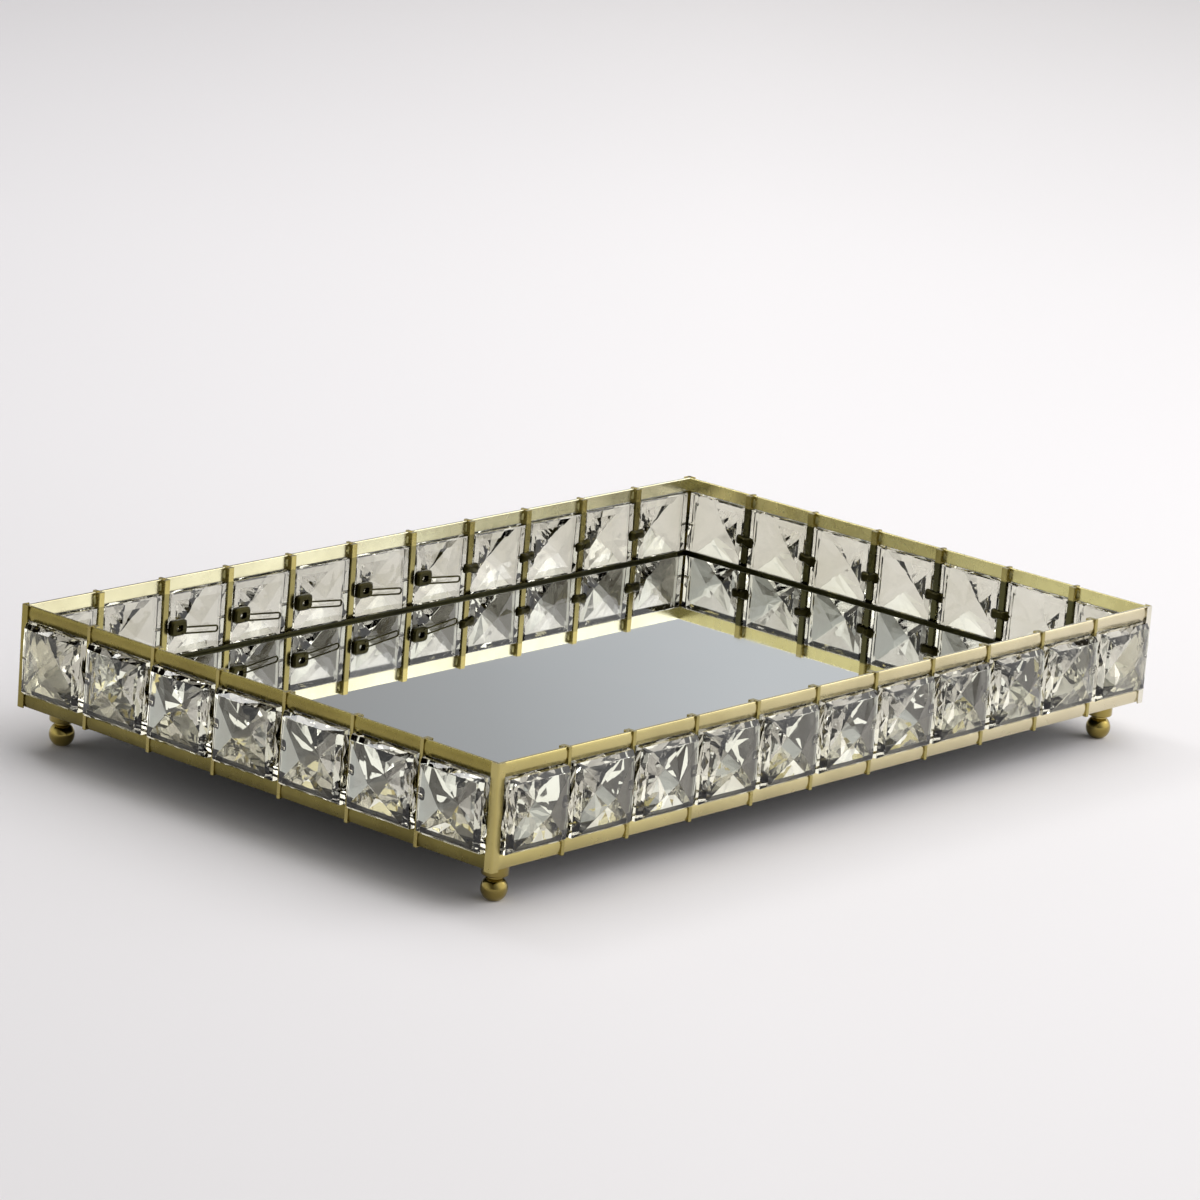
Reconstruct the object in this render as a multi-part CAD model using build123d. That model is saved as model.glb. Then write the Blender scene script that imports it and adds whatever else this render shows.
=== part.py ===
from build123d import *
import os

# Dresser vanity tray: a gold metal window frame with a faceted crystal hung in every window, a
# mirror floor in a shallow metal pan, and four ball feet. Millimetres, +Z up. The origin is on
# the surface that the feet stand on, under the middle of the tray. +X runs along the long side.
#
# The frame's lattice line runs through the middle of the walls. "Out" is the distance outward
# from that line, so a piece inside the line has a negative out.

# Lattice
PITCH = 27.0
CELLS_LONG = 11
CELLS_SHORT = 7
LENGTH = CELLS_LONG * PITCH
WIDTH = CELLS_SHORT * PITCH

# Heights
FOOT_LIFT = 12.0
FRAME_HEIGHT = 31.0
FRAME_TOP = FOOT_LIFT + FRAME_HEIGHT
MIDDLE_Z = FOOT_LIFT + FRAME_HEIGHT / 2

# Rails: a flat strip with a crowned outer face, mitred at the corners
RAIL_HEIGHT = 4.4
RAIL_IN = 0.4
RAIL_OUT = 1.8
RAIL_CROWN = 0.35
RAIL_EDGE = 0.25

# Divider bars, slotted for the rails that run through them, and corner angles round the mitres
BAR_WIDTH = 1.3
BAR_OUT = 2.2
BAR_EDGE = 0.2
BAR_ABOVE = 0.2
BAR_BELOW = 0.3
WEB_WIDTH = 2.4
WEB_IN = -1.35
WEB_EDGE = 0.3
POST_LEG = 2.8
POST_EDGE = 0.6

# Crystals: a low pyramid on a flat back, straight sides, a steep bevel and four large facets
# that meet in a point
CRYSTAL_WIDTH = 24.0
CRYSTAL_HEIGHT = 21.8
CRYSTAL_BACK = -1.2
GIRDLE_OUT = 3.4
TABLE_OUT = 5.2
POINT_OUT = 8.4
BEVEL_WIDTH = 1.2
BACK_CHAMFER = 0.4
BACK_MARGIN = 2.6
BACK_POINT = -2.9
BORE_OUT = 0.9
BORE_RADIUS = 0.5
BORE_DEPTH = 2.0

# Links that hang each crystal between two bars: a cross pin through the bar, and a clasp behind it
PIN_RADIUS = 0.4
PIN_HOLE_RADIUS = 0.45
PIN_REACH = 3.2
CLASP_WIDTH = 7.6
CLASP_WAIST = 3.0
CLASP_HEIGHT = 5.0
CLASP_INNER = -2.9
CLASP_CHAMFER = 0.5
CLASP_ROUND = 0.8
CORNER_BLOCK_HEIGHT = 5.2
CORNER_BLOCK_EDGE = 0.8
CORNER_PIN_SEAT = 1.4

# Floor, from the bottom up: pan, adhesive pad, mirror
PAN_Z = FOOT_LIFT + 1.4
PAN_THICKNESS = 1.2
PAD_THICKNESS = 0.8
MIRROR_THICKNESS = 3.0
PAN_TOP = PAN_Z + PAN_THICKNESS
PAD_TOP = PAN_TOP + PAD_THICKNESS
MIRROR_TOP = PAD_TOP + MIRROR_THICKNESS
LIP_TOP = MIRROR_TOP + 0.5
LIP_OUTER = -2.6
LIP_INNER = -3.6
MIRROR_OUT = -3.75
MIRROR_ARRIS = 0.4
PAD_OUT = -7.0

# Feet and the screws that hold them to the pan
FOOT_INSET_X = 8.8
FOOT_INSET_Y = 6.2
BALL_RADIUS = 3.9
BALL_Z = 3.4
NECK_RADIUS = 2.6
COLLAR_RADIUS = 4.0
COLLAR_HEIGHT = 6.2
COLLAR_EDGE = 0.5
SCREW_RADIUS = 1.5
SCREW_CLEARANCE = 0.1
SCREW_LENGTH = 8.0
SCREW_HEAD_RADIUS = 2.4
SCREW_HEAD_THICKNESS = 0.7
PAD_HOLE_RADIUS = 3.0
SLOT_WIDTH = 0.8
SLOT_DEPTH = 0.35

# Each wall is built as the front wall and turned into place: cells, turn about Z, distance out
WALLS = {
    "front": (CELLS_LONG, 0, WIDTH / 2),
    "right": (CELLS_SHORT, 90, LENGTH / 2),
    "back": (CELLS_LONG, 180, WIDTH / 2),
    "left": (CELLS_SHORT, 270, LENGTH / 2),
}
CORNERS = {
    "front_left": (-1, -1, 0),
    "front_right": (1, -1, 90),
    "back_right": (1, 1, 180),
    "back_left": (-1, 1, 270),
}


def wall_place(wall):
    """Takes a piece from the front wall's frame, with the lattice line along X at Y = 0, to its wall."""
    cells, turn, distance = WALLS[wall]
    return Rot(0, 0, turn) * Pos(0, -distance, 0)


def corner_place(corner):
    """Takes a piece from the front left corner's frame, with the lattice corner at 0, to its corner."""
    side_x, side_y, turn = CORNERS[corner]
    return Pos(side_x * LENGTH / 2, side_y * WIDTH / 2, 0) * Rot(0, 0, turn)


def bar_positions(wall):
    cells = WALLS[wall][0]
    return [(i - cells / 2) * PITCH for i in range(1, cells)]


def cell_positions(wall):
    cells = WALLS[wall][0]
    return [(i + 0.5 - cells / 2) * PITCH for i in range(cells)]


def rail(wall, bottom_z):
    """A crowned strip along one wall, with mitred ends. Front wall frame: outward is -Y."""
    half = WALLS[wall][0] * PITCH / 2
    crown_start = RAIL_OUT - RAIL_CROWN
    top_z = bottom_z + RAIL_HEIGHT
    outline = Polyline(
        (-crown_start, bottom_z), (-RAIL_IN, bottom_z), (-RAIL_IN, top_z), (-crown_start, top_z)
    )
    crown = ThreePointArc(
        (-crown_start, top_z), (-RAIL_OUT, bottom_z + RAIL_HEIGHT / 2), (-crown_start, bottom_z)
    )
    section = make_face(outline + crown)
    section = fillet(section.vertices(), RAIL_EDGE)
    reach = half + RAIL_OUT
    strip = extrude(Plane.YZ.offset(-reach) * section, 2 * reach)
    mitred = Polygon(
        (-half - RAIL_OUT, -RAIL_OUT),
        (half + RAIL_OUT, -RAIL_OUT),
        (half + RAIL_IN, -RAIL_IN),
        (-half - RAIL_IN, -RAIL_IN),
        align=None,
    )
    return strip & (Pos(0, 0, bottom_z) * extrude(mitred, RAIL_HEIGHT))


def divider_bar():
    """An upright bar with a slot for each rail and a bore for its cross pin. Front wall frame, at X = 0."""
    strip = Pos(0, -(BAR_OUT + RAIL_IN) / 2) * Rectangle(BAR_WIDTH, BAR_OUT - RAIL_IN)
    strip = fillet(strip.vertices().group_by(Axis.Y)[0], BAR_EDGE)
    height = FRAME_HEIGHT + BAR_ABOVE + BAR_BELOW
    bar = Pos(0, 0, FOOT_LIFT - BAR_BELOW) * extrude(strip, height)
    web = Pos(0, -(RAIL_IN + WEB_IN) / 2) * Rectangle(WEB_WIDTH, RAIL_IN - WEB_IN)
    web = fillet(web.vertices().group_by(Axis.Y)[-1], WEB_EDGE)
    bar += Pos(0, 0, PAN_TOP) * extrude(web, FRAME_TOP - PAN_TOP)
    bar -= rail("front", FOOT_LIFT)
    bar -= rail("front", FRAME_TOP - RAIL_HEIGHT)
    return bar - Pos(0, -BORE_OUT, MIDDLE_Z) * Rot(0, 90, 0) * Cylinder(PIN_HOLE_RADIUS, 2 * WEB_WIDTH)


def corner_post():
    """An angle that wraps the mitred rail ends. Front left corner frame."""
    far = POST_LEG - BAR_OUT
    section = Polygon(
        (-BAR_OUT, -BAR_OUT),
        (far, -BAR_OUT),
        (far, -RAIL_OUT),
        (-RAIL_OUT, -RAIL_OUT),
        (-RAIL_OUT, far),
        (-BAR_OUT, far),
        align=None,
    )
    outer = section.vertices().sort_by(Axis((0, 0, 0), (1, 1, 0)))[0]
    section = fillet(outer, POST_EDGE)
    height = FRAME_HEIGHT + BAR_ABOVE + BAR_BELOW
    return Pos(0, 0, FOOT_LIFT - BAR_BELOW) * extrude(section, height)


def crystal():
    """One cut crystal, with a blind bore in each side. Front wall frame, at X = 0, Z = 0: its point is at -Y."""
    girdle = GIRDLE_OUT - CRYSTAL_BACK
    back = Pos(0, -CRYSTAL_BACK, 0) * Box(
        CRYSTAL_WIDTH, girdle, CRYSTAL_HEIGHT, align=(Align.CENTER, Align.MAX, Align.CENTER)
    )
    back = chamfer(back.faces().sort_by(Axis.Y)[-1].edges(), BACK_CHAMFER)
    table_width = CRYSTAL_WIDTH - 2 * BEVEL_WIDTH
    table_height = CRYSTAL_HEIGHT - 2 * BEVEL_WIDTH
    girdle_face = Plane.XZ.offset(GIRDLE_OUT) * Rectangle(CRYSTAL_WIDTH, CRYSTAL_HEIGHT)
    table_face = Plane.XZ.offset(TABLE_OUT) * Rectangle(table_width, table_height)
    bevel = loft([girdle_face.face(), table_face.face()])
    point = loft([table_face.face(), Vertex(0, -POINT_OUT, 0)])
    rear_face = Plane.XZ.offset(CRYSTAL_BACK) * Rectangle(
        CRYSTAL_WIDTH - 2 * BACK_MARGIN, CRYSTAL_HEIGHT - 2 * BACK_MARGIN
    )
    rear = loft([rear_face.face(), Vertex(0, -BACK_POINT, 0)])
    stone = back + bevel + point + rear
    for side in (-1, 1):
        centre = side * (CRYSTAL_WIDTH - BORE_DEPTH) / 2
        stone -= Pos(centre, -BORE_OUT, 0) * Rot(0, 90, 0) * Cylinder(BORE_RADIUS, BORE_DEPTH)
    return stone


def link_clasp():
    """A bow-tie plate on the inner face of a bar, behind two crystals. Front wall frame."""
    wide = CLASP_WIDTH / 2
    high = CLASP_HEIGHT / 2
    waist = CLASP_WAIST / 2
    outline = Polygon(
        (-wide, -high), (0, -waist), (wide, -high), (wide, high), (0, waist), (-wide, high), align=None
    )
    outline = fillet(outline.vertices(), CLASP_ROUND)
    plate = extrude(Plane.XZ.offset(WEB_IN) * Pos(0, MIDDLE_Z) * outline, CLASP_INNER - WEB_IN)
    return chamfer(plate.faces().sort_by(Axis.Y)[-1].edges(), CLASP_CHAMFER)


def link_pin(start, end):
    """A round pin along X from start to end, at the height and depth of the crystals' bores."""
    pin = Pos((start + end) / 2, -BORE_OUT, MIDDLE_Z) * Rot(0, 90, 0)
    return pin * Cylinder(PIN_RADIUS, end - start)


def corner_link():
    """A block inside a corner angle, bored for one pin along each wall. Front left corner frame."""
    inner = -CRYSTAL_BACK
    size = RAIL_OUT + inner
    block = Pos(-RAIL_OUT, -RAIL_OUT, MIDDLE_Z) * Box(
        size, size, CORNER_BLOCK_HEIGHT, align=(Align.MIN, Align.MIN, Align.CENTER)
    )
    inner_edge = block.edges().filter_by(Axis.Z).sort_by(Axis((0, 0, 0), (1, 1, 0)))[-1]
    block = fillet(inner_edge, CORNER_BLOCK_EDGE)
    depth = CORNER_PIN_SEAT
    along_x = Pos(inner - depth / 2, -BORE_OUT, MIDDLE_Z) * Rot(0, 90, 0)
    along_y = Pos(-BORE_OUT, inner - depth / 2, MIDDLE_Z) * Rot(90, 0, 0)
    seat = Cylinder(PIN_HOLE_RADIUS, depth)
    return block - along_x * seat - along_y * seat


def corner_pins():
    """The two pins of one corner link. Front left corner frame."""
    start = -CRYSTAL_BACK - CORNER_PIN_SEAT
    along_x = link_pin(start, PIN_REACH)
    along_y = Rot(0, 0, 90) * mirror(along_x, Plane.XZ)
    return [along_x, along_y]


def foot_places():
    return {
        corner: Pos(
            side_x * (LENGTH / 2 - FOOT_INSET_X),
            side_y * (WIDTH / 2 - FOOT_INSET_Y),
            0,
        )
        for corner, (side_x, side_y, turn) in CORNERS.items()
    }


def base_pan():
    """The floor sheet with a lip around the mirror, and a hole for each foot's screw."""
    floor = Pos(0, 0, PAN_Z) * Box(
        LENGTH + 2 * RAIL_IN,
        WIDTH + 2 * RAIL_IN,
        PAN_THICKNESS,
        align=(Align.CENTER, Align.CENTER, Align.MIN),
    )
    lip = Rectangle(LENGTH + 2 * LIP_OUTER, WIDTH + 2 * LIP_OUTER)
    lip -= Rectangle(LENGTH + 2 * LIP_INNER, WIDTH + 2 * LIP_INNER)
    pan = floor + Pos(0, 0, PAN_TOP) * extrude(lip, LIP_TOP - PAN_TOP)
    hole = Cylinder(SCREW_RADIUS + SCREW_CLEARANCE, 4 * PAN_THICKNESS)
    for place in foot_places().values():
        pan -= place * Pos(0, 0, PAN_Z) * hole
    return pan


def mirror_pad():
    """The adhesive foam sheet under the mirror, cut out around the screw heads."""
    sheet = Rectangle(LENGTH + 2 * PAD_OUT, WIDTH + 2 * PAD_OUT)
    for place in foot_places().values():
        sheet -= place * Circle(PAD_HOLE_RADIUS)
    return Pos(0, 0, PAN_TOP) * extrude(sheet, PAD_THICKNESS)


def mirror_sheet():
    """The mirror glass, with its top edges ground."""
    sheet = Pos(0, 0, PAD_TOP) * Box(
        LENGTH + 2 * MIRROR_OUT,
        WIDTH + 2 * MIRROR_OUT,
        MIRROR_THICKNESS,
        align=(Align.CENTER, Align.CENTER, Align.MIN),
    )
    return chamfer(sheet.faces().sort_by(Axis.Z)[-1].edges(), MIRROR_ARRIS)


def ball_foot():
    """A turned foot: a ball with a flat to stand on, a neck, a collar, and a bore for its screw."""
    neck_height = PAN_Z - BALL_Z
    bottom_up = (Align.CENTER, Align.CENTER, Align.MIN)
    above_ground = Box(3 * BALL_RADIUS, 3 * BALL_RADIUS, 3 * BALL_RADIUS, align=bottom_up)
    ball = (Pos(0, 0, BALL_Z) * Sphere(BALL_RADIUS)) & above_ground
    neck = Pos(0, 0, BALL_Z) * Cylinder(NECK_RADIUS, neck_height, align=bottom_up)
    collar = Pos(0, 0, PAN_Z - COLLAR_HEIGHT) * Cylinder(COLLAR_RADIUS, COLLAR_HEIGHT, align=bottom_up)
    collar = chamfer(collar.edges().group_by(Axis.Z)[0], COLLAR_EDGE)
    bore = Pos(0, 0, PAN_Z) * Cylinder(
        SCREW_RADIUS + SCREW_CLEARANCE,
        SCREW_LENGTH,
        align=(Align.CENTER, Align.CENTER, Align.MAX),
    )
    return ball + neck + collar - bore


def foot_screw():
    """A slotted pan screw, from the top of the pan down into the foot."""
    bottom_up = (Align.CENTER, Align.CENTER, Align.MIN)
    shank = Pos(0, 0, PAN_TOP) * Cylinder(
        SCREW_RADIUS, SCREW_LENGTH, align=(Align.CENTER, Align.CENTER, Align.MAX)
    )
    head = Pos(0, 0, PAN_TOP) * Cylinder(SCREW_HEAD_RADIUS, SCREW_HEAD_THICKNESS, align=bottom_up)
    slot = Pos(0, 0, PAN_TOP + SCREW_HEAD_THICKNESS - SLOT_DEPTH) * Box(
        3 * SCREW_HEAD_RADIUS, SLOT_WIDTH, SCREW_HEAD_THICKNESS, align=bottom_up
    )
    return shank + head - slot


def build_parts():
    """Every node's name and its solids, in place."""
    parts = {}
    bars = []
    clasps = []
    pins = []
    stone = Pos(0, 0, MIDDLE_Z) * crystal()
    bar = divider_bar()
    clasp = link_clasp()
    for wall in WALLS:
        place = wall_place(wall)
        parts[f"top_rail_{wall}"] = [place * rail(wall, FRAME_TOP - RAIL_HEIGHT)]
        parts[f"bottom_rail_{wall}"] = [place * rail(wall, FOOT_LIFT)]
        for number, x in enumerate(cell_positions(wall), start=1):
            parts[f"crystal_{wall}_{number:02d}"] = [place * Pos(x, 0, 0) * stone]
        for x in bar_positions(wall):
            bars.append(place * Pos(x, 0, 0) * bar)
            clasps.append(place * Pos(x, 0, 0) * clasp)
            pins.append(place * Pos(x, 0, 0) * link_pin(-PIN_REACH, PIN_REACH))
    corner_links = []
    for corner in CORNERS:
        place = corner_place(corner)
        parts[f"corner_post_{corner}"] = [place * corner_post()]
        corner_links.append(place * corner_link())
        pins += [place * pin for pin in corner_pins()]
    parts["divider_bars"] = bars
    parts["link_clasps"] = clasps
    parts["corner_links"] = corner_links
    parts["link_pins"] = pins
    parts["base_pan"] = [base_pan()]
    parts["mirror_pad"] = [mirror_pad()]
    parts["mirror"] = [mirror_sheet()]
    for corner, place in foot_places().items():
        parts[f"foot_{corner}"] = [place * ball_foot()]
    parts["foot_screws"] = [place * foot_screw() for place in foot_places().values()]
    return parts


os.makedirs("parts", exist_ok=True)
for node, shapes in build_parts().items():
    solids = [solid for shape in shapes for solid in shape.solids()]
    export_step(solids[0] if len(solids) == 1 else Compound(solids), f"parts/{node}.step")
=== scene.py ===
import math
import random

import bmesh
import bpy
from mathutils import Matrix, Quaternion, Vector

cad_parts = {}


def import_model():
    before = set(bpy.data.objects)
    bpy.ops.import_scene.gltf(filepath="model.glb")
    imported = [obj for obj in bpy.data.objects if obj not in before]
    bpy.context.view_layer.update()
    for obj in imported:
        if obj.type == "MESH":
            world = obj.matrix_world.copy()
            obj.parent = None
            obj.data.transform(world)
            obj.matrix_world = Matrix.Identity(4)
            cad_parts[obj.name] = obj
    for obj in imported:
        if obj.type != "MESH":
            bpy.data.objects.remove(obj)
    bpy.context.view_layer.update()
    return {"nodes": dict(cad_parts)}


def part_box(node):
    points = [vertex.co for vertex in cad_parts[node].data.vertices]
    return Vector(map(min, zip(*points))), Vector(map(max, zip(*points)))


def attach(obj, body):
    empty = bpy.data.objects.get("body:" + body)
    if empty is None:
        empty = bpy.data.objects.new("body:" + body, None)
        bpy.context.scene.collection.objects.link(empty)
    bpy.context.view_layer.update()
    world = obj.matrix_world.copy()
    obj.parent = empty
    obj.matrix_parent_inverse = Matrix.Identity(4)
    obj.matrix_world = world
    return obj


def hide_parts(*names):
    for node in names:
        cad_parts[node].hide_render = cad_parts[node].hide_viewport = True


# Dresser vanity tray. Metres, in the frame of the CAD model: +Z up, +X along the long side, the
# origin on the surface that the feet stand on. Each wall is worked in its own local frame, as if it
# were the front wall: X along the wall, outward is -Y. TURNS takes that frame to the wall.

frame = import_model()
nodes = frame["nodes"]
MM = 0.001

TURNS = {"front": 0, "right": 90, "back": 180, "left": 270}
CELLS = {"front": 11, "right": 7, "back": 11, "left": 7}
CORNERS = ("front_left", "front_right", "back_right", "back_left")

# Levels of a crystal, as shares of its depth from the point of its back outwards.
BACK_SHARE = 0.1504     # the flat round the low pyramid on the back
BORE_SHARE = 0.3363     # the middle of the blind bores
GIRDLE_SHARE = 0.5575   # the outer end of the straight sides
TABLE_SHARE = 0.7168    # the top of the bevel, where the great facets start


# ---------------------------------------------------------------- places, read from the frame


def turned(turn):
    return Matrix.Rotation(math.radians(turn), 4, "Z")


def local_box(node, turn):
    """A node's box in the local frame of a wall."""
    low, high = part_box(node)
    inverse = turned(-turn)
    a, b = inverse @ low, inverse @ high
    return Vector(map(min, a, b)), Vector(map(max, a, b))


def crystal_boxes(wall):
    """The boxes of a wall's crystals in its local frame, along X."""
    return [local_box(f"crystal_{wall}_{i:02d}", TURNS[wall]) for i in range(1, CELLS[wall] + 1)]


# ---------------------------------------------------------------- materials


class Nodes:
    """A material's node tree, with short calls for the nodes used here."""

    def __init__(self, name):
        self.material = bpy.data.materials.new(name)
        self.material.use_nodes = True
        self.tree = self.material.node_tree
        self.shader = self.tree.nodes["Principled BSDF"]

    def set(self, **values):
        for label, value in values.items():
            self.shader.inputs[label.replace("_", " ")].default_value = value

    def link(self, out, to):
        self.tree.links.new(out, to)

    def feed(self, **outputs):
        """Links outputs to the shader's inputs of the same names."""
        for label, out in outputs.items():
            self.link(out, self.shader.inputs[label.replace("_", " ")])

    def node(self, kind, **settings):
        made = self.tree.nodes.new(kind)
        for label, value in settings.items():
            setattr(made, label, value)
        return made

    def place(self, scale=(1, 1, 1)):
        """Object coordinates, stretched by scale."""
        coordinates = self.node("ShaderNodeTexCoord")
        mapping = self.node("ShaderNodeMapping")
        mapping.inputs["Scale"].default_value = scale
        self.link(coordinates.outputs["Object"], mapping.inputs["Vector"])
        return mapping.outputs["Vector"]

    def apart(self, place):
        """The three coordinates of a place, each on its own."""
        made = self.node("ShaderNodeSeparateXYZ")
        self.link(place, made.inputs["Vector"])
        return made.outputs

    def noise(self, place, scale, detail=3.0, roughness=0.55):
        made = self.node("ShaderNodeTexNoise")
        made.inputs["Scale"].default_value = scale
        made.inputs["Detail"].default_value = detail
        made.inputs["Roughness"].default_value = roughness
        self.link(place, made.inputs["Vector"])
        return made.outputs["Fac"]

    def ramp(self, value, stops):
        made = self.node("ShaderNodeValToRGB")
        made.color_ramp.elements[0].position = stops[0][0]
        made.color_ramp.elements[0].color = (*stops[0][1], 1)
        made.color_ramp.elements[1].position = stops[-1][0]
        made.color_ramp.elements[1].color = (*stops[-1][1], 1)
        for position, colour in stops[1:-1]:
            made.color_ramp.elements.new(position).color = (*colour, 1)
        self.link(value, made.inputs["Fac"])
        return made.outputs["Color"]

    def span(self, value, low, high, start=0.3, end=0.7):
        """Value, which runs from start to end, mapped to low to high."""
        made = self.node("ShaderNodeMapRange")
        made.inputs["From Min"].default_value = start
        made.inputs["From Max"].default_value = end
        made.inputs["To Min"].default_value = low
        made.inputs["To Max"].default_value = high
        self.link(value, made.inputs["Value"])
        return made.outputs["Result"]

    def bump(self, height, distance, strength=1.0, under=None):
        made = self.node("ShaderNodeBump")
        made.inputs["Strength"].default_value = strength
        made.inputs["Distance"].default_value = distance
        self.link(height, made.inputs["Height"])
        if under is not None:
            self.link(under, made.inputs["Normal"])
        return made.outputs["Normal"]

    def largest(self, first, second):
        made = self.node("ShaderNodeMath", operation="MAXIMUM")
        self.link(first, made.inputs[0])
        self.link(second, made.inputs[1])
        return made.outputs["Value"]

    def beyond(self, value, limit):
        """How far a coordinate is past limit, on either side of zero."""
        size = self.node("ShaderNodeMath", operation="ABSOLUTE")
        self.link(value, size.inputs[0])
        over = self.node("ShaderNodeMath", operation="SUBTRACT")
        over.inputs[1].default_value = limit
        self.link(size.outputs["Value"], over.inputs[0])
        return over.outputs["Value"]

    def blend(self, share, first, second):
        """First, going over to second as share grows from 0 to 1."""
        made = self.node("ShaderNodeMixRGB")
        self.link(share, made.inputs["Fac"])
        self.link(first, made.inputs["Color1"])
        self.link(second, made.inputs["Color2"])
        return made.outputs["Color"]

    def product(self, first, second):
        """One colour times another."""
        made = self.node("ShaderNodeMixRGB", blend_type="MULTIPLY")
        made.inputs["Fac"].default_value = 1.0
        self.link(first, made.inputs["Color1"])
        self.link(second, made.inputs["Color2"])
        return made.outputs["Color"]


def patches(mat, place, deep, light):
    """A tone that wanders between deep and light in patches about 2 cm across."""
    return mat.ramp(mat.noise(place, 45, 3), [(0.32, deep), (0.6, light)])


def gold_surface(name, rough, coat, haze, wave=0.02 * MM):
    """Lacquered gold plating with slow waves and an uneven polish, still without its colour."""
    mat = Nodes(name)
    mat.set(Metallic=1.0, IOR=1.5, Coat_Weight=coat, Coat_Roughness=haze, Coat_IOR=1.5)
    place = mat.place()
    waves = mat.bump(mat.noise(place, 60, 1), wave)
    mat.feed(Roughness=mat.span(mat.noise(place, 260, 3), *rough), Normal=waves)
    return mat, place, waves


def plated_gold(name, light, deep, rough, coat=0.5, wave=0.02 * MM):
    """Gold with a deeper tone in patches and fine scratches across its waves."""
    mat, place, waves = gold_surface(name, rough, coat, 0.08, wave)
    mat.feed(Base_Color=patches(mat, place, deep, light))
    scratches = mat.noise(mat.place((120, 120, 1800)), 1.0, 4, 0.6)
    mat.feed(Normal=mat.bump(scratches, 0.003 * MM, 0.3, waves))
    return mat.material


def reflection_graded_gold(name, start, end, reach):
    """Gold with a painted reflection that grows paler along X, from start at -reach to end at +reach."""
    mat, place, _ = gold_surface(name, (0.2, 0.28), 0.5, 0.1)
    share = mat.span(mat.apart(place)["X"], 0.0, 1.0, -reach, reach)
    # Painted reflection: the tone pales along X, as if the rail caught more of the bright light toward one
    # end.
    tone = mat.ramp(share, [(0.05, start), (0.95, end)])
    mat.feed(Base_Color=mat.product(tone, patches(mat, place, (0.84, 0.83, 0.80), (1, 1, 1))))
    return mat.material


def lit_and_shaded_gold(name, outside, shaded_inside, edge):
    """Gold in a lit and a shaded copy: lit outside and along the rim, half lit on the back wall, painted
    shade elsewhere.
    """
    mat, place, _ = gold_surface(name, (0.2, 0.3), 0.3, 0.1)
    x, y, z = mat.apart(place)
    soft = 0.2 * MM
    # Painted light: the bars are lit on their outer sides and above the rim's lower edge.
    past_wall = mat.largest(mat.beyond(x, edge.x), mat.beyond(y, edge.y))
    outer = mat.largest(
        mat.span(past_wall, 0.0, 1.0, -soft, soft),
        mat.span(z, 0.0, 1.0, edge.z - soft, edge.z + soft),
    )
    # Painted light: on the back wall the bars' inner sides are half lit.
    share = mat.largest(outer, mat.span(y, 0.0, 0.5, 0.9 * edge.y, 0.95 * edge.y))
    # Painted shade: a dark copy of the gold stands in for the shade on the bars' inner sides.
    shaded_tone = patches(mat, place, shaded_inside[1], shaded_inside[0])
    bright = patches(mat, place, outside[1], outside[0])
    mat.feed(Base_Color=mat.blend(share, shaded_tone, bright))
    return mat.material


def cut_glass():
    """Clear cut glass, with slightly wavy facets and a trace of haze where it is handled."""
    mat = Nodes("cut_glass")
    mat.set(Transmission_Weight=1.0, IOR=1.55)
    place = mat.place()
    tint = mat.ramp(mat.noise(place, 30, 2), [(0.3, (0.63, 0.61, 0.50)), (0.7, (0.75, 0.735, 0.645))])
    haze = mat.span(mat.noise(place, 140, 3), 0.0, 0.035, 0.5, 0.8)
    mat.feed(Base_Color=tint, Roughness=haze, Normal=mat.bump(mat.noise(place, 160, 1), 0.05 * MM))
    return mat.material


def mirror_glass():
    """Silvered glass: cool and slightly dark, with a film of fine smudges."""
    mat = Nodes("mirror_glass")
    mat.set(Metallic=1.0, Coat_Weight=0.4, Coat_Roughness=0.01)
    silver = mat.ramp(mat.noise(mat.place(), 9, 3), [(0.3, (0.80, 0.83, 0.84)), (0.7, (0.85, 0.87, 0.88))])
    smudges = mat.noise(mat.place((1, 2.2, 1)), 22, 6, 0.65)
    mat.feed(Base_Color=silver, Roughness=mat.span(smudges, 0.015, 0.06, 0.45, 0.75))
    return mat.material


def drawn_steel(name, tone):
    """Drawn steel with fine turning marks."""
    mat = Nodes(name)
    mat.set(Metallic=1.0)
    place = mat.place()
    dark = tuple(0.8 * t for t in tone)
    mat.feed(
        Base_Color=mat.ramp(mat.noise(place, 500, 4), [(0.3, dark), (0.7, tone)]),
        Roughness=mat.span(mat.noise(place, 900, 3), 0.22, 0.4),
        Normal=mat.bump(mat.noise(place, 2400, 2), 0.01 * MM),
    )
    return mat.material


def foam():
    """Black foam sheet with open cells, with painted shade that darkens their pits."""
    mat = Nodes("foam")
    place = mat.place()
    cells = mat.node("ShaderNodeTexVoronoi")
    cells.inputs["Scale"].default_value = 1600
    mat.link(place, cells.inputs["Vector"])
    depth = cells.outputs["Distance"]
    mat.feed(
        # Painted shade: the colour is darkest at the bottom of each cell's pit.
        Base_Color=mat.ramp(depth, [(0.0, (0.01, 0.01, 0.01)), (0.7, (0.045, 0.045, 0.045))]),
        Roughness=mat.span(mat.noise(place, 300), 0.8, 0.95),
        Normal=mat.bump(depth, 0.15 * MM),
    )
    return mat.material


# The inner faces of the right and back walls, and the lower edge of the rim.
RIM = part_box("top_rail_right")[0]
WALL_FACE = Vector((RIM.x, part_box("top_rail_back")[0].y, RIM.z))

# The bars' gold in two copies: lit on the outer sides and the rim, and a dark painted shade on the inner
# sides.
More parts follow.
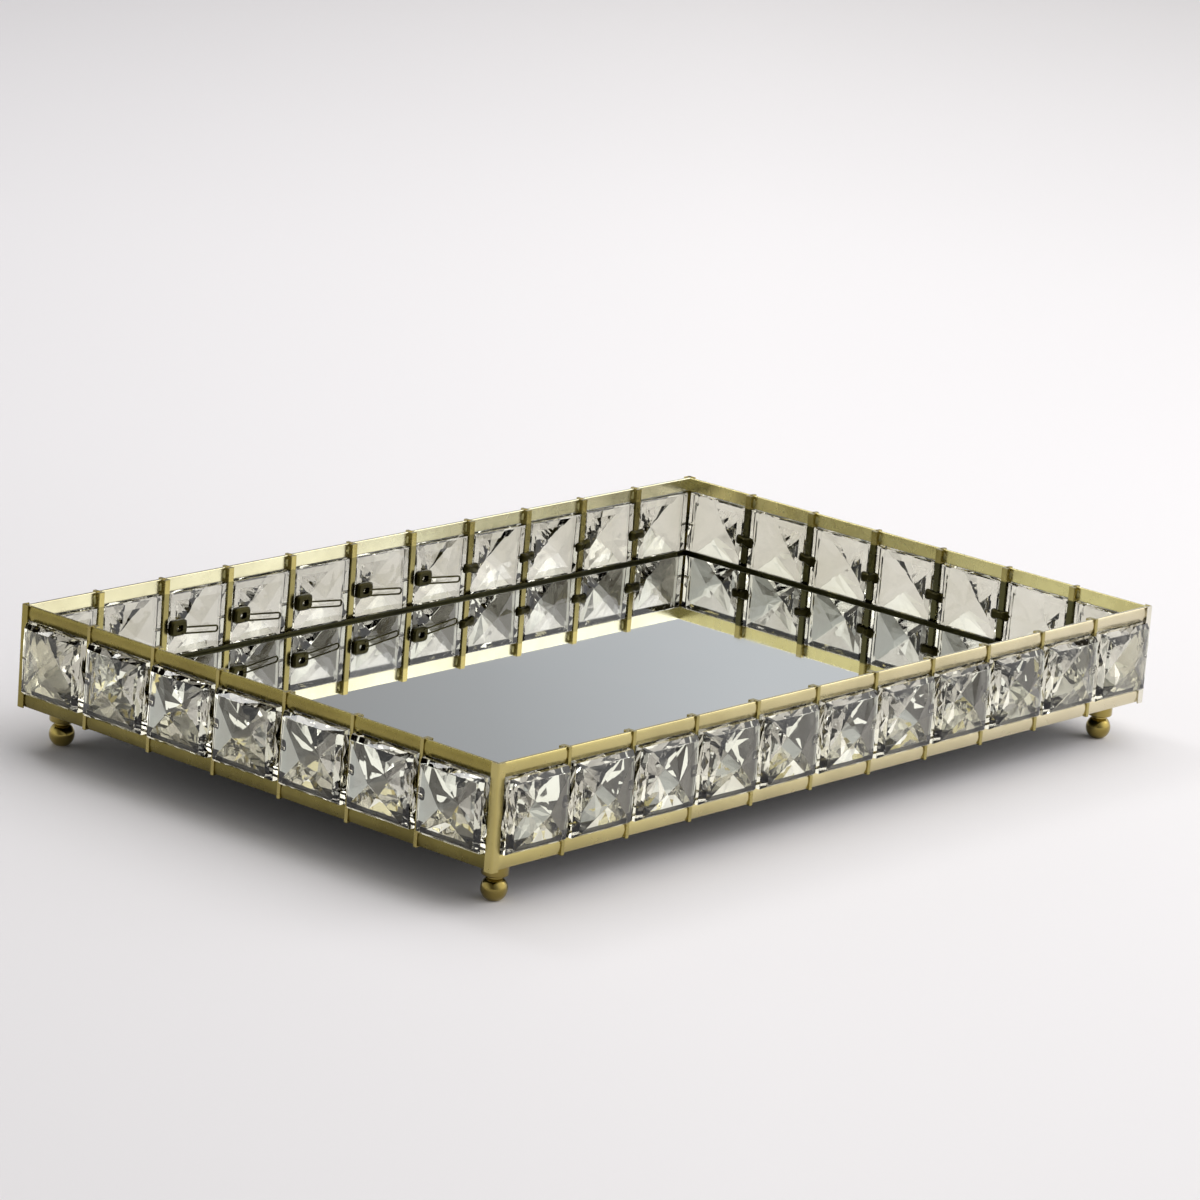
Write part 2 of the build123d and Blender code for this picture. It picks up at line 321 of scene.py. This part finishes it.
BAR_LIT_OUTSIDE = ((0.42, 0.35, 0.12), (0.33, 0.27, 0.085))
BAR_PAINTED_SHADE = ((0.075, 0.07, 0.02), (0.035, 0.032, 0.008))
GOLD_BAR_LIT_AND_SHADED = lit_and_shaded_gold("gold_bar", BAR_LIT_OUTSIDE, BAR_PAINTED_SHADE, WALL_FACE)
# The front and back rails carry a painted reflection that pales them along X.
GOLD_FRONT_PAINTED_REFLECTION = reflection_graded_gold("gold_rail_front_painted_reflection", (0.50, 0.42, 0.15), (0.68, 0.61, 0.42), WALL_FACE.x)
GOLD_BACK_PAINTED_REFLECTION = reflection_graded_gold("gold_rail_back_painted_reflection", (0.60, 0.56, 0.36), (0.84, 0.81, 0.57), WALL_FACE.x)
GOLD_RAIL = plated_gold("gold_rail", (0.50, 0.42, 0.15), (0.43, 0.355, 0.12), (0.2, 0.28))
# Painted shade: a darker copy of the gold on the left top rail and the back-left post.
GOLD_PAINTED_SHADE = plated_gold("gold_rail_painted_shade", (0.31, 0.255, 0.065), (0.23, 0.185, 0.045), (0.22, 0.32), 0.2)
# Painted highlight: the front-right post is a pale copy of the gold, as if washed out by light.
GOLD_POST_PAINTED_HIGHLIGHT = plated_gold("gold_post_painted_highlight", (0.80, 0.77, 0.66), (0.72, 0.69, 0.58), (0.2, 0.3))
# Painted light: the right wall's rails are a paler copy of the gold, standing in for the light they
# reflect.
GOLD_RIGHT_PAINTED_LIGHT = plated_gold("gold_rail_right_painted_light", (0.76, 0.68, 0.30), (0.66, 0.58, 0.24), (0.22, 0.32))
# Painted shade: the left bottom rail's gold is darker still, for the shadowed floor it reflects.
GOLD_LOW_PAINTED_SHADE = plated_gold("gold_rail_low_painted_shade", (0.21, 0.175, 0.05), (0.14, 0.115, 0.03), (0.24, 0.34), 0.15)
# Painted shade: the links, clasps and hairpins are an almost black gold for the shade behind the crystals.
GOLD_LINK_PAINTED_SHADE = plated_gold("gold_link", (0.032, 0.028, 0.007), (0.014, 0.012, 0.003), (0.24, 0.38), 0.04)
# Painted shade: the pan and its hem are an almost black gold for the shade under and inside the rim.
GOLD_PAN_PAINTED_SHADE = plated_gold("gold_pan", (0.022, 0.021, 0.006), (0.011, 0.0105, 0.003), (0.26, 0.38), 0.03)
# Painted shade: the feet's gold is darker than the rails' gold, for the shade under the tray.
GOLD_FOOT_PAINTED_SHADE = plated_gold("gold_foot", (0.40, 0.31, 0.08), (0.22, 0.165, 0.04), (0.14, 0.26), 0.4)
SOLDER = plated_gold("solder", (0.42, 0.38, 0.17), (0.28, 0.25, 0.10), (0.3, 0.45), 0.3, 0.03 * MM)
GLASS = cut_glass()

PAINT = {
    "top_rail_front": GOLD_FRONT_PAINTED_REFLECTION,
    "bottom_rail_front": GOLD_FRONT_PAINTED_REFLECTION,
    "top_rail_right": GOLD_RIGHT_PAINTED_LIGHT,
    "bottom_rail_right": GOLD_RIGHT_PAINTED_LIGHT,
    "top_rail_back": GOLD_BACK_PAINTED_REFLECTION,
    "bottom_rail_back": GOLD_BACK_PAINTED_REFLECTION,
    "top_rail_left": GOLD_PAINTED_SHADE,
    "bottom_rail_left": GOLD_LOW_PAINTED_SHADE,
    "corner_post_front_left": GOLD_RAIL,
    "corner_post_front_right": GOLD_POST_PAINTED_HIGHLIGHT,
    "corner_post_back_right": GOLD_RAIL,
    "corner_post_back_left": GOLD_PAINTED_SHADE,
    "divider_bars": GOLD_BAR_LIT_AND_SHADED,
    "corner_links": GOLD_LINK_PAINTED_SHADE,
    "link_pins": drawn_steel("pin_steel", (0.62, 0.60, 0.55)),
    "base_pan": GOLD_PAN_PAINTED_SHADE,
    "mirror_pad": foam(),
    "mirror": mirror_glass(),
    "foot_screws": drawn_steel("screw_steel", (0.66, 0.66, 0.66)),
}
for node, material in PAINT.items():
    mesh = nodes[node].data
    mesh.materials.clear()
    mesh.materials.append(material)


# ---------------------------------------------------------------- mesh pieces


def piece(name, work, turn, material, replaced=(), smooth=None):
    """Turns a mesh, made in a wall's local frame, into a piece of the tray. Smooth is the sharp angle."""
    bmesh.ops.recalc_face_normals(work, faces=work.faces)
    mesh = bpy.data.meshes.new(name)
    work.to_mesh(mesh)
    work.free()
    mesh.transform(turned(turn))
    if smooth:
        mesh.polygons.foreach_set("use_smooth", [True] * len(mesh.polygons))
        mesh.set_sharp_from_angle(angle=math.radians(smooth))
    mesh.materials.append(material)
    made = bpy.data.objects.new(name, mesh)
    bpy.context.scene.collection.objects.link(made)
    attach(made, "root")
    if replaced:
        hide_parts(*replaced)
    return made


def round_steps(count):
    """Angles, evenly spaced round a full turn."""
    return [2 * math.pi * i / count for i in range(count)]


def power(value, exponent):
    """A power that keeps its value's sign, for rounded squares and lobes."""
    return math.copysign(abs(value) ** exponent, value)


def skin(work, rings, close=False):
    """Quads between rings of points that all have the same count."""
    made = [[work.verts.new(point) for point in ring] for ring in rings]
    pairs = list(zip(made, made[1:]))
    if close:
        pairs.append((made[-1], made[0]))
    for low, high in pairs:
        for i in range(len(low)):
            j = (i + 1) % len(low)
            work.faces.new((low[i], low[j], high[j], high[i]))
    return made


def capped_skin(work, rings):
    """A skin whose first and last rings are closed with a face each."""
    made = skin(work, rings)
    work.faces.new(made[0])
    work.faces.new(made[-1])


# ---------------------------------------------------------------- crystals

CHAMFER = 0.4 * MM       # round the flat of the back
BEVEL = 1.2 * MM         # from the girdle in to the table
BACK_MARGIN = 2.6 * MM   # from the sides in to the pyramid of the back
ARRIS = 0.07 * MM        # the worn edge between two facets
ARRIS_ANGLE = 14         # facets that meet flatter than this have no worn edge
FAN = 4                  # points along each side of the crown, each the foot of a fan's facet
AROUND = 4 * FAN
BORE_RADIUS = 0.5 * MM
BORE_DEPTH = 2.0 * MM
BORE_SIDES = 16

# The ranges, in mm, of how far points leave the plane of their ring, inwards: bottom, right, top, left.
LEVEL = ((0, 0),) * 4
CROWN_LIFTS = ((-0.15, 0.05), (-0.45, 0.05), (-0.8, 0.15), (-0.3, 0.05))
HILL_LIFTS = ((-0.05, 0.22),) * 4

# How far a crystal hangs out of line, in degrees about the upright and the level axis.
LEAN_UPRIGHT = 0.55
LEAN_LEVEL = 1.8


def bore(work, side, centre):
    """Cuts a blind bore into the flat side of a crystal that faces along X."""
    flat = max(
        (face for face in work.faces if face.normal.x * side > 0.999), key=lambda face: face.calc_area()
    )
    rim = list(flat.edges)
    bmesh.ops.delete(work, geom=[flat], context="FACES_ONLY")
    steps = round_steps(BORE_SIDES)
    mouth = [centre + Vector((0, BORE_RADIUS * math.cos(a), BORE_RADIUS * math.sin(a))) for a in steps]
    deep = [point - Vector((side * BORE_DEPTH, 0, 0)) for point in mouth]
    outer, inner = skin(work, [mouth, deep])
    work.faces.new(inner)
    ring = [work.edges.get((outer[i - 1], outer[i])) for i in range(BORE_SIDES)]
    bmesh.ops.triangle_fill(work, use_beauty=True, edges=rim + ring)


def cut_crystal(name, turn, rng):
    """A cut crystal: a bevel, four great facets that break into fans, and a low faceted back."""
    low, high = local_box(name, turn)
    x, z = (low.x + high.x) / 2, (low.z + high.z) / 2
    half_x, half_z = (high.x - low.x) / 2, (high.z - low.z) / 2
    depth = high.y - low.y
    flat, girdle, table = (high.y - share * depth for share in (BACK_SHARE, GIRDLE_SHARE, TABLE_SHARE))

    def ring(y, wide, tall, lifts):
        """A rectangle at y with FAN points a side, from the lower left. Its corners stay at y."""
        corners = [(-wide, -tall), (wide, -tall), (wide, tall), (-wide, tall)]
        points = []
        for start, end, lift in zip(corners, corners[1:] + corners[:1], lifts):
            for step in range(FAN):
                across = start[0] + (end[0] - start[0]) * step / FAN
                up = start[1] + (end[1] - start[1]) * step / FAN
                rise = rng.uniform(*lift) * MM if step else 0
                points.append((x + across, y + rise, z + up))
        return points

    def plain(y, inset):
        """A rectangle at y with a point at each corner, from the lower left."""
        left, right = x - (half_x - inset), x + (half_x - inset)
        bottom, top = z - (half_z - inset), z + (half_z - inset)
        return [(left, y, bottom), (right, y, bottom), (right, y, top), (left, y, top)]

    work = bmesh.new()
    edge, back = skin(work, [plain(flat - CHAMFER, 0), plain(flat, CHAMFER)])
    waist, crown = skin(work, [
        ring(girdle, half_x, half_z, LEVEL),
        ring(table, half_x - BEVEL, half_z - BEVEL, CROWN_LIFTS),
    ])
    wide, tall = half_x - BACK_MARGIN, half_z - BACK_MARGIN
    foot, hill = skin(work, [
        ring(flat, wide, tall, LEVEL),
        ring((flat + high.y) / 2, wide / 2, tall / 2, HILL_LIFTS),
    ])
    for i in range(4):
        j = (i + 1) % 4
        side = [(FAN * i + k) % AROUND for k in range(FAN, -1, -1)]
        work.faces.new([edge[i], edge[j]] + [waist[k] for k in side])
        work.faces.new([back[i], back[j]] + [foot[k] for k in side])
    point = work.verts.new((x, low.y, z))
    peak = work.verts.new((x, high.y, z))
    for i in range(AROUND):
        work.faces.new((crown[i], crown[(i + 1) % AROUND], point))
        work.faces.new((hill[i], hill[(i + 1) % AROUND], peak))
    bmesh.ops.recalc_face_normals(work, faces=work.faces)
    sharp = [e for e in work.edges if e.is_manifold and e.calc_face_angle() > math.radians(ARRIS_ANGLE)]
    bmesh.ops.bevel(work, geom=sharp, offset=ARRIS, segments=1, affect="EDGES", clamp_overlap=True)
    work.normal_update()
    centre = Vector((x, high.y - BORE_SHARE * depth, z))
    for side in (-1, 1):
        bore(work, side, centre + Vector((side * half_x, 0, 0)))
    lean = Matrix.Rotation(math.radians(rng.uniform(-LEAN_UPRIGHT, LEAN_UPRIGHT)), 4, "Z")
    lean @= Matrix.Rotation(math.radians(rng.uniform(-LEAN_LEVEL, LEAN_LEVEL)), 4, "X")
    bmesh.ops.transform(work, matrix=lean, space=Matrix.Translation(-centre), verts=work.verts)
    piece(f"{name}_cut", work, turn, GLASS, [name])


# ---------------------------------------------------------------- clasps, hairpins and solder

PINNED = 5               # bars of the back wall with a buckle and a hairpin, just before its last bar
BUCKLE_ASIDE = 4.3 * MM  # from a bar's middle to its buckle's middle


def lobed_clasp(work, x, y, z, rng):
    """A pressed bow-tie clasp: two domed lobes, a pinched waist, and a flat back on the bar."""
    reach, tall, waist, thick = 3.8 * MM, 2.4 * MM, 1.35 * MM, 1.5 * MM
    layers = 6
    twist = math.radians(rng.uniform(-9, 9))
    swell = [rng.uniform(0.85, 1.05) for _ in range(2)]
    rings = []
    for k in range(layers + 1):
        rise = k / layers
        shrink = 1 - 0.42 * rise ** 2.2 if k else 1.0
        points = []
        for a in round_steps(24):
            across = math.cos(a)
            body = waist + (tall - waist) * abs(across) ** 0.8
            lobe = swell[0] if across < 0 else swell[1]
            u = reach * power(across, 0.75) * shrink * lobe
            v = body * power(math.sin(a), 0.6) * shrink * lobe
            points.append((
                x + u * math.cos(twist) - v * math.sin(twist),
                y + thick * rise * (0.72 + 0.28 * abs(across)),
                z + u * math.sin(twist) + v * math.cos(twist),
            ))
        rings.append(points)
    capped_skin(work, rings)


def buckle(work, x, z, low_y, high_y):
    """A pressed square buckle with rounded corners, a domed face and a square window."""
    wide, tall = 3.4 * MM, 2.5 * MM

    def loop(y, share, exponent):
        """A rounded rectangle at y, squarer with a lower exponent."""
        points = []
        for a in round_steps(28):
            across = wide * share * power(math.cos(a), exponent)
            up = tall * share * power(math.sin(a), exponent)
            points.append((x + across, y, z + up))
        return points

    shoulder = low_y + 0.7 * (high_y - low_y)
    skin(work, [
        loop(low_y, 0.34, 0.6),
        loop(low_y, 1.0, 0.45),
        loop(shoulder, 1.0, 0.45),
        loop(high_y, 0.82, 0.5),
        loop(high_y, 0.42, 0.6),
        loop(shoulder, 0.34, 0.6),
    ], close=True)


def tube(work, path, radius):
    """A round wire along a path that lies in a plane of constant Y."""
    over = Vector((0, 1, 0))
    rings = []
    for i, point in enumerate(path):
        along = (path[min(i + 1, len(path) - 1)] - path[max(i - 1, 0)]).normalized()
        side = along.cross(over)
        rings.append([point + radius * (math.cos(a) * over + math.sin(a) * side) for a in round_steps(10)])
    capped_skin(work, rings)


def hairpin(work, x, y, z, side):
    """A bent wire loop that hangs a little as it runs from a buckle across the back of one crystal."""
    gap, near, far, wire = 0.95 * MM, 5.4 * MM, 19.5 * MM, 0.3 * MM
    droop = math.radians(6)
    steps, bends = 6, 8
    path = [Vector((side * (near + (far - near) * t / steps), 0, gap)) for t in range(steps + 1)]
    for k in range(1, bends):
        a = math.pi / 2 - math.pi * k / bends
        path.append(Vector((side * (far + gap * math.cos(a)), 0, gap * math.sin(a))))
    path += [Vector((side * (far - (far - near) * t / steps), 0, -gap)) for t in range(steps + 1)]
    turn = Matrix.Rotation(side * droop, 3, "Y")
    tube(work, [Vector((x, y, z)) + turn @ point for point in path], wire)


def solder_patch(work, x, y, z, rng):
    """A thin run of solder on a rail's inner face, spread to both sides of a bar."""
    wide, tall, thick = 2.2 * MM, 1.8 * MM, 0.55 * MM
    count, layers = 22, 5
    wave = [rng.uniform(0.8, 1.12) for _ in range(count)]
    rings = []
    for k in range(layers):
        slope = math.pi / 2 * k / layers
        rings.append([
            (
                x + wide * swell * math.cos(slope) * math.cos(a),
                y + thick * math.sin(slope),
                z + tall * swell * math.cos(slope) * math.sin(a),
            )
            for swell, a in zip(wave, round_steps(count))
        ])
    capped_skin(work, rings)


def wall_links(wall, rng):
    """Clasps, solder and hairpins of one wall, at every bar halfway between neighbouring crystals."""
    turn = TURNS[wall]
    boxes = crystal_boxes(wall)
    places = [(a[1].x + b[0].x) / 2 for a, b in zip(boxes, boxes[1:])]
    low, high = boxes[0]
    rail_low, rail_high = local_box(f"top_rail_{wall}", turn)
    middle = (low.z + high.z) / 2
    behind = high.y - BACK_SHARE * (high.y - low.y) + 0.15 * MM
    pinned = places[-PINNED - 1:-1] if wall == "back" else []
    clasps, solder, wires = bmesh.new(), bmesh.new(), bmesh.new()
    for x in places:
        if x in pinned:
            buckle(clasps, x - BUCKLE_ASIDE, middle + 0.2 * MM, behind + 0.3 * MM, high.y + 0.5 * MM)
            hairpin(wires, x, high.y + 0.45 * MM, middle, -1)
        else:
            lobed_clasp(clasps, x, behind, middle, rng)
        solder_patch(solder, x, rail_high.y, (rail_low.z + rail_high.z) / 2 - 0.2 * MM, rng)
    piece(f"clasps_{wall}", clasps, turn, GOLD_LINK_PAINTED_SHADE, ["link_clasps"], smooth=35)
    piece(f"solder_{wall}", solder, turn, SOLDER, smooth=60)
    if pinned:
        piece(f"hairpins_{wall}", wires, turn, GOLD_LINK_PAINTED_SHADE, smooth=60)


# ---------------------------------------------------------------- feet and hem

# A foot's outline below its top, in mm: radius and height, down the collar and in to the neck.
COLLAR = ((4.0, 7.9), (3.85, 7.5), (3.4, 7.25), (2.6, 7.2), (2.3, 7.0))
COLLAR_RADIUS = 4.0
SCREW_BORE = 1.6
SCREW_DEEP = 5.4
BALL_RADIUS = 3.9
BALL_HEIGHT = 3.4
BALL_START, BALL_END = 54, -60.7   # degrees above the ball's middle, from the neck to the flat it stands on


def turned_foot(name):
    """A turned foot: a straight collar with a rounded edge over a ball with a flat, bored for its screw."""
    low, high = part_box(name)
    x, y, top = (low.x + high.x) / 2, (low.y + high.y) / 2, high.z
    profile = [(SCREW_BORE, SCREW_DEEP), (SCREW_BORE, top / MM), (COLLAR_RADIUS, top / MM), *COLLAR]
    for k in range(17):
        a = math.radians(BALL_START - k * (BALL_START - BALL_END) / 16)
        profile.append((BALL_RADIUS * math.cos(a), BALL_HEIGHT + BALL_RADIUS * math.sin(a)))
    work = bmesh.new()
    capped_skin(work, [
        [(x + radius * MM * math.cos(a), y + radius * MM * math.sin(a), z * MM) for a in round_steps(56)]
        for radius, z in profile
    ])
    piece(f"{name}_turned", work, 0, GOLD_FOOT_PAINTED_SHADE, [name], smooth=50)


def rolled_hem():
    """The rolled edge of the pan's lip, a rounded hem all the way round the mirror."""
    outside, wide, tall, lift = 0.62 * MM, 0.5 * MM, 0.4 * MM, 0.1 * MM
    mirror_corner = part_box("mirror")[1]
    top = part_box("base_pan")[1].z
    line = Vector((mirror_corner.x + outside, mirror_corner.y + outside, 0))
    rings = []
    for side_x, side_y in ((-1, -1), (1, -1), (1, 1), (-1, 1)):
        ring = []
        for a in round_steps(14):
            out = wide * math.cos(a)
            ring.append((side_x * (line.x + out), side_y * (line.y + out), top + lift + tall * math.sin(a)))
        rings.append(ring)
    work = bmesh.new()
    skin(work, rings, close=True)
    piece("pan_hem", work, 0, GOLD_PAN_PAINTED_SHADE, smooth=60)


rng = random.Random(27)
for wall, count in CELLS.items():
    for number in range(1, count + 1):
        cut_crystal(f"crystal_{wall}_{number:02d}", TURNS[wall], rng)
    wall_links(wall, rng)
for corner in CORNERS:
    turned_foot(f"foot_{corner}")
rolled_hem()


# ---------------------------------------------------------------- floor, light and camera

FLOOR_RADIUS = 12
SHADE_SIDE = (-0.653, 0.757, 0)   # level, to the left across the camera's view

# Parts of the studio: a direction, and the tones at cosines of the angle from it. The sides run right
# round, the ceiling is above, the mirror shows the glow, and the horizon is behind the tray.
WORLD_SIDES = ((0.60, -0.65, 0.45), (
    (-1.0, (0.95, 0.95, 0.93)),
    (-0.70, (0.95, 0.95, 0.93)),
    (-0.25, (0.16, 0.15, 0.13)),
    (0.02, (0.17, 0.16, 0.14)),
    (0.14, (0.26, 0.26, 0.26)),
    (0.38, (0.36, 0.37, 0.38)),
    (0.55, (0.60, 0.60, 0.60)),
    (0.95, (1.70, 1.67, 1.65)),
))
WORLD_CEILING = ((0.30, 0.30, 0.90), ((0.65, (1, 1, 1)), (0.80, (0.16, 0.135, 0.095))))
WORLD_GLOW = ((0.826, 0.516, 0.225), (
    (0.956, (0, 0, 0)),
    (0.9816, (0.12, 0.125, 0.13)),
    (0.9925, (0.31, 0.325, 0.335)),
))
WORLD_HORIZON = ((0.77, 0.64, 0.0), ((0.968, (0, 0, 0)), (0.990, (0.85, 0.85, 0.86))))

# Name, place, aim, size and power of each soft light.
SOFTBOXES = (
    ("overhead", (0.60, 0.10, 1.60), (0, 0, 0), (2.6, 2.2), 27),
    ("right_panel", (0.66, -0.44, 0.46), (0.10, -0.10, 0.03), (0.55, 0.30), 0.6),
    ("back_spark", (0.10, 1.02, 1.25), (0, 0, 0.03), (0.34, 0.34), 2.2),
)

CAMERA_PLACE = (-1.1918, -1.0276, 0.4620)
CAMERA_AIM = (0.0022, 0.0038, 0.0435)
CAMERA_ROLL = 4.47
CAMERA_LENS = 160.4


def floor():
    """A pale level floor with painted shade that grows a little darker to the left of the tray."""
    mesh = bpy.data.meshes.new("floor")
    work = bmesh.new()
    bmesh.ops.create_circle(work, cap_ends=True, radius=FLOOR_RADIUS, segments=96)
    work.to_mesh(mesh)
    work.free()
    made = bpy.data.objects.new("floor", mesh)
    bpy.context.scene.collection.objects.link(made)
    mat = Nodes("floor_paint")
    mat.set(Roughness=0.75)
    place = mat.place()
    tone = mat.ramp(mat.noise(place, 0.8, 2), [(0.3, (0.83, 0.815, 0.835)), (0.7, (0.86, 0.845, 0.865))])
    # Painted shade: a ramp across the floor darkens it toward the left.
    across = mat.node("ShaderNodeVectorMath", operation="DOT_PRODUCT")
    across.inputs[1].default_value = SHADE_SIDE
    mat.link(place, across.inputs[0])
    fall = mat.span(across.outputs["Value"], 0.0, 1.0, -0.05, 0.4)
    shade = mat.ramp(fall, [(0.0, (1, 1, 1)), (1.0, (0.82, 0.82, 0.83))])
    mat.feed(Base_Color=mat.product(tone, shade))
    mesh.materials.append(mat.material)


def world():
    """A studio: bright at the front right and the back left, dim between, with a dark ceiling."""
    made = bpy.data.worlds.new("studio")
    bpy.context.scene.world = made
    made.use_nodes = True
    tree = made.node_tree
    direction = tree.nodes.new("ShaderNodeTexCoord").outputs["Generated"]

    def facing(aim, stops):
        """Tones by the angle to aim."""
        dot = tree.nodes.new("ShaderNodeVectorMath")
        dot.operation = "DOT_PRODUCT"
        dot.inputs[1].default_value = Vector(aim).normalized()
        tree.links.new(direction, dot.inputs[0])
        scale = tree.nodes.new("ShaderNodeMapRange")
        scale.inputs["From Min"].default_value = -1
        tree.links.new(dot.outputs["Value"], scale.inputs["Value"])
        ramp = tree.nodes.new("ShaderNodeValToRGB")
        for index, (value, colour) in enumerate(stops):
            position = (value + 1) / 2
            if index < 2:
                element = ramp.color_ramp.elements[index]
                element.position = position
            else:
                element = ramp.color_ramp.elements.new(position)
            element.color = (*colour, 1)
        tree.links.new(scale.outputs["Result"], ramp.inputs["Fac"])
        return ramp.outputs["Color"]

    # The sides times the ceiling's shade, plus the glow and the horizon.
    lit = tree.nodes.new("ShaderNodeVectorMath")
    lit.operation = "MULTIPLY_ADD"
    for part, to in zip((WORLD_SIDES, WORLD_CEILING, WORLD_GLOW), lit.inputs):
        tree.links.new(facing(*part), to)
    total = tree.nodes.new("ShaderNodeVectorMath")
    tree.links.new(lit.outputs["Vector"], total.inputs[0])
    tree.links.new(facing(*WORLD_HORIZON), total.inputs[1])
    tree.links.new(total.outputs["Vector"], tree.nodes["Background"].inputs["Color"])


def softbox(name, place, aim, size, power):
    """A rectangular soft light at place, turned to face aim."""
    light = bpy.data.lights.new(name, "AREA")
    light.shape = "RECTANGLE"
    light.size, light.size_y = size
    light.energy = power
    made = bpy.data.objects.new(name, light)
    made.location = place
    made.rotation_mode = "QUATERNION"
    made.rotation_quaternion = (Vector(aim) - Vector(place)).to_track_quat("-Z", "Y")
    bpy.context.scene.collection.objects.link(made)


def camera():
    """A long lens from the front left, 15 degrees above the table, turned a little about its axis."""
    data = bpy.data.cameras.new("camera")
    data.sensor_width = 36
    data.lens = CAMERA_LENS
    data.clip_start, data.clip_end = 0.05, 50
    made = bpy.data.objects.new("camera", data)
    made.location = CAMERA_PLACE
    look = Vector(CAMERA_AIM) - made.location
    roll = Quaternion((0, 0, 1), math.radians(CAMERA_ROLL))
    made.rotation_mode = "QUATERNION"
    made.rotation_quaternion = look.to_track_quat("-Z", "Y") @ roll
    bpy.context.scene.collection.objects.link(made)
    bpy.context.scene.camera = made


floor()
world()
for box in SOFTBOXES:
    softbox(*box)
camera()
bpy.context.scene.view_settings.view_transform = "Standard"
